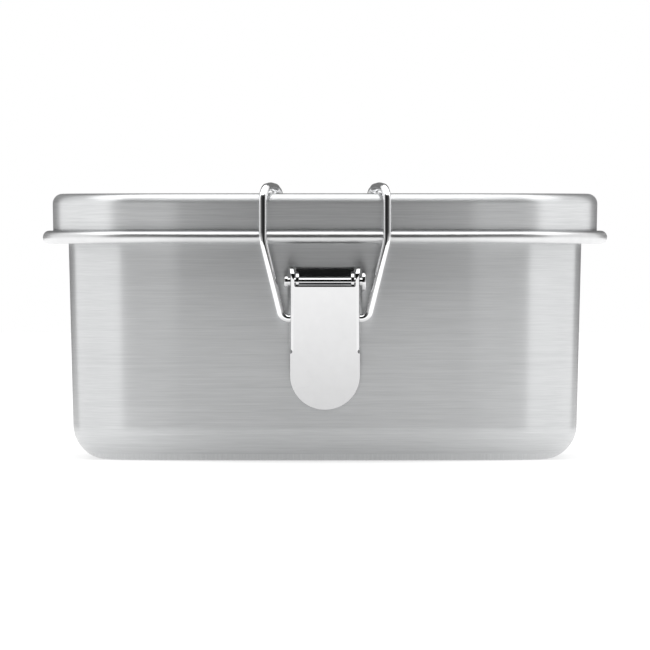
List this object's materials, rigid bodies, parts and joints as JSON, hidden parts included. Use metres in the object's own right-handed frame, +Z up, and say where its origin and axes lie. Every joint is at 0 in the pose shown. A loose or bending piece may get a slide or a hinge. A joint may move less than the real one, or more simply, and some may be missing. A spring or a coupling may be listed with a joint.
{
  "type": "lunch box",
  "caption": "Rectangular stainless steel lunch box with rounded corners, a lift-off lid with a rolled bead and a wire toggle latch at each short end.",
  "frame": {"origin": "middle of the container's base, on the surface it stands on", "axes": "+Z up, +Y along the length, out of the rear latch; the front latch faces -Y; +X across the width"},
  "size_m": [0.1354, 0.182, 0.0663],
  "materials": {
    "brushed_body": "brushed along the walls, satin",
    "polished_steel": "mirror polished sheet",
    "polished_wire": "bright drawn wire",
    "silicone": "soft matte silicone"
  },
  "bodies": {
    "container": {"container": "brushed_body", "front_bracket": "polished_steel", "front_pivot_rivet": "polished_steel", "rear_bracket": "polished_steel", "rear_pivot_rivet": "polished_steel"},
    "lid": {"lid": "brushed_body", "gasket": "silicone"},
    "front_lever": {"front_lever": "polished_steel"},
    "front_bail": {"front_bail": "polished_wire"},
    "rear_lever": {"rear_lever": "polished_steel"},
    "rear_bail": {"rear_bail": "polished_wire"}
  },
  "joints": [
    {"name": "lid_lift", "type": "slide", "parent": "container", "child": "lid", "axis": [0, 0, 1], "range_m": [0, 0.1]},
    {"name": "front_lever_pivot", "type": "hinge", "parent": "container", "child": "front_lever", "pos_m": [0, -0.0877, 0.0427], "axis": [-1, 0, 0], "range_deg": [0, 150]},
    {"name": "front_bail_pivot", "type": "hinge", "parent": "front_lever", "child": "front_bail", "pos_m": [0, -0.08711, 0.03388], "axis": [-1, 0, 0], "range_deg": [-120, 0]},
    {"name": "rear_lever_pivot", "type": "hinge", "parent": "container", "child": "rear_lever", "pos_m": [0, 0.0877, 0.0427], "axis": [1, 0, 0], "range_deg": [0, 150]},
    {"name": "rear_bail_pivot", "type": "hinge", "parent": "rear_lever", "child": "rear_bail", "pos_m": [0, 0.08711, 0.03388], "axis": [1, 0, 0], "range_deg": [-120, 0]}
  ],
  "couplings": [
    {"joint": "front_bail_pivot", "follows": "front_lever_pivot", "ratio": -0.8},
    {"joint": "rear_bail_pivot", "follows": "rear_lever_pivot", "ratio": -0.8}
  ]
}
